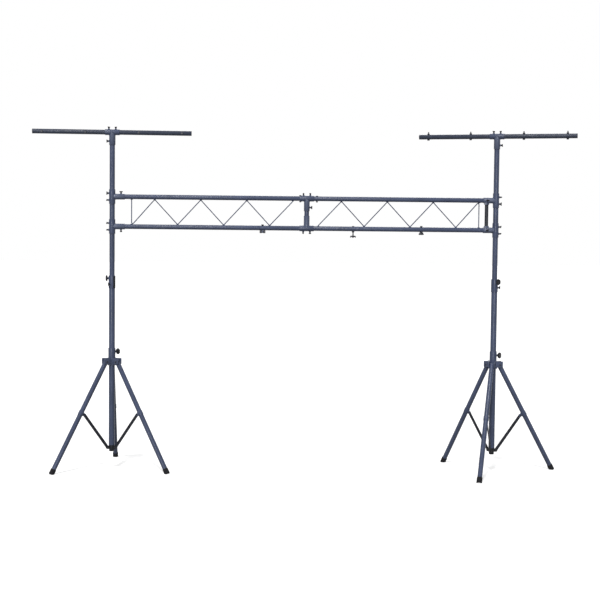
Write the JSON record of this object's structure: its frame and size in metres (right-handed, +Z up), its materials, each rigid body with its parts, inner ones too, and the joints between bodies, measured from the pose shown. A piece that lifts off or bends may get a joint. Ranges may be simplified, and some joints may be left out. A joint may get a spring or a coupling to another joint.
{
  "type": "portable lighting truss",
  "caption": "Overhead ladder truss carried by tripod stands with telescoping masts and T-bars, joined by clamped T-connectors, for hanging stage lamps.",
  "frame": {"origin": "on the floor, under the middle of the object's box", "axes": "+X from the left mast to the right mast as the picture shows them, +Y away from the viewer, +Z up"},
  "size_m": [4.2788, 1.0504, 2.723],
  "materials": {
    "slate_paint": "satin slate blue-grey enamel",
    "black_plastic": "moulded black nylon",
    "black_rubber": "moulded rubber",
    "black_steel": "black enamel"
  },
  "bodies": {
    "truss": {"left_top_mast_tee": "slate_paint", "left_bottom_mast_tee": "slate_paint", "right_top_mast_tee": "slate_paint", "right_bottom_mast_tee": "slate_paint", "mid_top_tee": "slate_paint", "mid_bottom_tee": "slate_paint", "mid_post": "slate_paint", "left_top_chord": "slate_paint", "left_bottom_chord": "slate_paint", "right_top_chord": "slate_paint", "right_bottom_chord": "slate_paint", "left_web": "slate_paint", "right_web": "slate_paint", "end_brace": "black_steel", "block_lamp_bolt": "black_steel", "hanging_lamp_bolt": "black_steel", "wing_lamp_bolt": "black_steel"},
    "left_upper_mast": {"left_upper_tube": "slate_paint"},
    "left_lower_mast": {"left_lower_tube": "slate_paint", "left_height_collar": "slate_paint", "left_base_plug": "black_plastic"},
    "left_t_bar_tee": {"left_t_bar_tee": "slate_paint"},
    "left_t_bar": {"left_t_bar": "slate_paint"},
    "left_bar_screw_1": {"left_bar_screw_1": "black_plastic"},
    "left_bar_screw_2": {"left_bar_screw_2": "black_plastic"},
    "left_swivel_screw": {"left_swivel_screw": "black_plastic"},
    "left_height_knob": {"left_height_knob": "black_plastic"},
    "left_leg_hub": {"left_leg_hub": "slate_paint"},
    "left_hub_knob": {"left_hub_knob": "black_plastic"},
    "left_leg_1": {"left_leg_1": "slate_paint", "left_foot_1": "black_rubber"},
    "left_brace_1": {"left_brace_1": "black_steel"},
    "left_leg_2": {"left_leg_2": "slate_paint", "left_foot_2": "black_rubber"},
    "left_brace_2": {"left_brace_2": "black_steel"},
    "left_leg_3": {"left_leg_3": "slate_paint", "left_foot_3": "black_rubber"},
    "left_brace_3": {"left_brace_3": "black_steel"},
    "right_upper_mast": {"right_upper_tube": "slate_paint"},
    "right_lower_mast": {"right_lower_tube": "slate_paint", "right_height_collar": "slate_paint", "right_base_plug": "black_plastic"},
    "right_t_bar_tee": {"right_t_bar_tee": "slate_paint"},
    "right_t_bar": {"right_t_bar": "slate_paint"},
    "right_bar_screw_1": {"right_bar_screw_1": "black_plastic"},
    "right_bar_screw_2": {"right_bar_screw_2": "black_plastic"},
    "right_swivel_screw": {"right_swivel_screw": "black_plastic"},
    "right_height_knob": {"right_height_knob": "black_plastic"},
    "right_leg_hub": {"right_leg_hub": "slate_paint"},
    "right_hub_knob": {"right_hub_knob": "black_plastic"},
    "right_leg_1": {"right_leg_1": "slate_paint", "right_foot_1": "black_rubber"},
    "right_brace_1": {"right_brace_1": "black_steel"},
    "right_leg_2": {"right_leg_2": "slate_paint", "right_foot_2": "black_rubber"},
    "right_brace_2": {"right_brace_2": "black_steel"},
    "right_leg_3": {"right_leg_3": "slate_paint", "right_foot_3": "black_rubber"},
    "right_brace_3": {"right_brace_3": "black_steel"}
  },
  "joints": [
    {"name": "left_truss_height", "type": "slide", "parent": "truss", "child": "left_upper_mast", "axis": [0, 0, 1], "range_m": [-0.3, 0.03]},
    {"name": "left_mast_height", "type": "slide", "parent": "left_upper_mast", "child": "left_lower_mast", "axis": [0, 0, 1], "range_m": [-0.06, 0.28]},
    {"name": "left_hub_slide", "type": "slide", "parent": "left_lower_mast", "child": "left_leg_hub", "axis": [0, 0, 1], "range_m": [0, 0.10528]},
    {"name": "left_t_bar_swivel", "type": "hinge", "parent": "left_upper_mast", "child": "left_t_bar_tee", "pos_m": [-1.51457, -0.01349, 2.678], "axis": [0, 0, 1], "continuous": true},
    {"name": "left_t_bar_roll", "type": "hinge", "parent": "left_t_bar_tee", "child": "left_t_bar", "pos_m": [-1.51457, -0.01349, 2.678], "axis": [0.9976, 0.0698, 0], "continuous": true},
    {"name": "left_bar_screw_1_turn", "type": "hinge", "parent": "left_t_bar_tee", "child": "left_bar_screw_1", "pos_m": [-1.54151, -0.01537, 2.678], "axis": [0, 0, 1], "continuous": true},
    {"name": "left_bar_screw_2_turn", "type": "hinge", "parent": "left_t_bar_tee", "child": "left_bar_screw_2", "pos_m": [-1.48764, -0.0116, 2.678], "axis": [0, 0, 1], "continuous": true},
    {"name": "left_swivel_screw_turn", "type": "hinge", "parent": "left_t_bar_tee", "child": "left_swivel_screw", "pos_m": [-1.51457, -0.01349, 2.608], "axis": [-0.9976, -0.0698, 0], "continuous": true},
    {"name": "left_height_knob_turn", "type": "hinge", "parent": "left_lower_mast", "child": "left_height_knob", "pos_m": [-1.51457, -0.01349, 1.524], "axis": [-1, 0, 0], "continuous": true},
    {"name": "left_hub_knob_turn", "type": "hinge", "parent": "left_leg_hub", "child": "left_hub_knob", "pos_m": [-1.51457, -0.01349, 0.938], "axis": [0.829, 0.5592, 0], "continuous": true},
    {"name": "left_leg_1_fold", "type": "hinge", "parent": "left_leg_hub", "child": "left_leg_1", "pos_m": [-1.5182, 0.03839, 0.858], "axis": [-0.9976, -0.0698, 0], "range_deg": [-0.01, 24.11]},
    {"name": "left_brace_1_fold", "type": "hinge", "parent": "left_leg_1", "child": "left_brace_1", "pos_m": [-1.53115, 0.22357, 0.44667], "axis": [-0.9976, -0.0698, 0], "range_deg": [-57.33, 0.01]},
    {"name": "left_leg_2_fold", "type": "hinge", "parent": "left_leg_hub", "child": "left_leg_2", "pos_m": [-1.55768, -0.04256, 0.858], "axis": [0.5592, -0.829, 0], "range_deg": [-0.01, 24.11]},
    {"name": "left_brace_2_fold", "type": "hinge", "parent": "left_leg_2", "child": "left_brace_2", "pos_m": [-1.71158, -0.14637, 0.44667], "axis": [0.5592, -0.829, 0], "range_deg": [-57.33, 0.01]},
    {"name": "left_leg_3_fold", "type": "hinge", "parent": "left_leg_hub", "child": "left_leg_3", "pos_m": [-1.46784, -0.03628, 0.858], "axis": [0.4384, 0.8988, 0], "range_deg": [-0.01, 24.11]},
    {"name": "left_brace_3_fold", "type": "hinge", "parent": "left_leg_3", "child": "left_brace_3", "pos_m": [-1.30099, -0.11766, 0.44667], "axis": [0.4384, 0.8988, 0], "range_deg": [-57.33, 0.01]},
    {"name": "right_truss_height", "type": "slide", "parent": "truss", "child": "right_upper_mast", "axis": [0, 0, 1], "range_m": [-0.3, 0.03]},
    {"name": "right_mast_height", "type": "slide", "parent": "right_upper_mast", "child": "right_lower_mast", "axis": [0, 0, 1], "range_m": [-0.06, 0.28]},
    {"name": "right_hub_slide", "type": "slide", "parent": "right_lower_mast", "child": "right_leg_hub", "axis": [0, 0, 1], "range_m": [0, 0.10528]},
    {"name": "right_t_bar_swivel", "type": "hinge", "parent": "right_upper_mast", "child": "right_t_bar_tee", "pos_m": [1.53343, -0.01349, 2.678], "axis": [0, 0, 1], "continuous": true},
    {"name": "right_t_bar_roll", "type": "hinge", "parent": "right_t_bar_tee", "child": "right_t_bar", "pos_m": [1.53343, -0.01349, 2.678], "axis": [0.9613, -0.2756, 0], "continuous": true},
    {"name": "right_bar_screw_1_turn", "type": "hinge", "parent": "right_t_bar_tee", "child": "right_bar_screw_1", "pos_m": [1.50747, -0.00605, 2.678], "axis": [0, 0, 1], "continuous": true},
    {"name": "right_bar_screw_2_turn", "type": "hinge", "parent": "right_t_bar_tee", "child": "right_bar_screw_2", "pos_m": [1.55938, -0.02093, 2.678], "axis": [0, 0, 1], "continuous": true},
    {"name": "right_swivel_screw_turn", "type": "hinge", "parent": "right_t_bar_tee", "child": "right_swivel_screw", "pos_m": [1.53343, -0.01349, 2.608], "axis": [0.9613, -0.2756, 0], "continuous": true},
    {"name": "right_height_knob_turn", "type": "hinge", "parent": "right_lower_mast", "child": "right_height_knob", "pos_m": [1.53343, -0.01349, 1.524], "axis": [0.5736, -0.8192, 0], "continuous": true},
    {"name": "right_hub_knob_turn", "type": "hinge", "parent": "right_leg_hub", "child": "right_hub_knob", "pos_m": [1.53343, -0.01349, 0.938], "axis": [0.866, -0.5, 0], "continuous": true},
    {"name": "right_leg_1_fold", "type": "hinge", "parent": "right_leg_hub", "child": "right_leg_1", "pos_m": [1.58447, -0.00357, 0.858], "axis": [-0.1908, 0.9816, 0], "range_deg": [-0.01, 24.11]},
    {"name": "right_brace_1_fold", "type": "hinge", "parent": "right_leg_1", "child": "right_brace_1", "pos_m": [1.76669, 0.03186, 0.44667], "axis": [-0.1908, 0.9816, 0], "range_deg": [-57.33, 0.01]},
    {"name": "right_leg_2_fold", "type": "hinge", "parent": "right_leg_hub", "child": "right_leg_2", "pos_m": [1.49931, 0.02576, 0.858], "axis": [-0.7547, -0.6561, 0], "range_deg": [-0.01, 24.11]},
    {"name": "right_brace_2_fold", "type": "hinge", "parent": "right_leg_2", "child": "right_brace_2", "pos_m": [1.37752, 0.16586, 0.44667], "axis": [-0.7547, -0.6561, 0], "range_deg": [-57.33, 0.01]},
    {"name": "right_leg_3_fold", "type": "hinge", "parent": "right_leg_hub", "child": "right_leg_3", "pos_m": [1.5165, -0.06265, 0.858], "axis": [0.9455, -0.3256, 0], "range_deg": [-0.01, 24.11]},
    {"name": "right_brace_3_fold", "type": "hinge", "parent": "right_leg_3", "child": "right_brace_3", "pos_m": [1.45606, -0.23818, 0.44667], "axis": [0.9455, -0.3256, 0], "range_deg": [-57.33, 0.01]}
  ],
  "couplings": [
    {"joint": "left_leg_1_fold", "follows": "left_hub_slide", "rad_per_m": 3.9971},
    {"joint": "left_brace_1_fold", "follows": "left_hub_slide", "rad_per_m": -9.5036},
    {"joint": "left_leg_2_fold", "follows": "left_hub_slide", "rad_per_m": 3.9971},
    {"joint": "left_brace_2_fold", "follows": "left_hub_slide", "rad_per_m": -9.5036},
    {"joint": "left_leg_3_fold", "follows": "left_hub_slide", "rad_per_m": 3.9971},
    {"joint": "left_brace_3_fold", "follows": "left_hub_slide", "rad_per_m": -9.5036},
    {"joint": "right_leg_1_fold", "follows": "right_hub_slide", "rad_per_m": 3.9971},
    {"joint": "right_brace_1_fold", "follows": "right_hub_slide", "rad_per_m": -9.5036},
    {"joint": "right_leg_2_fold", "follows": "right_hub_slide", "rad_per_m": 3.9971},
    {"joint": "right_brace_2_fold", "follows": "right_hub_slide", "rad_per_m": -9.5036},
    {"joint": "right_leg_3_fold", "follows": "right_hub_slide", "rad_per_m": 3.9971},
    {"joint": "right_brace_3_fold", "follows": "right_hub_slide", "rad_per_m": -9.5036}
  ]
}
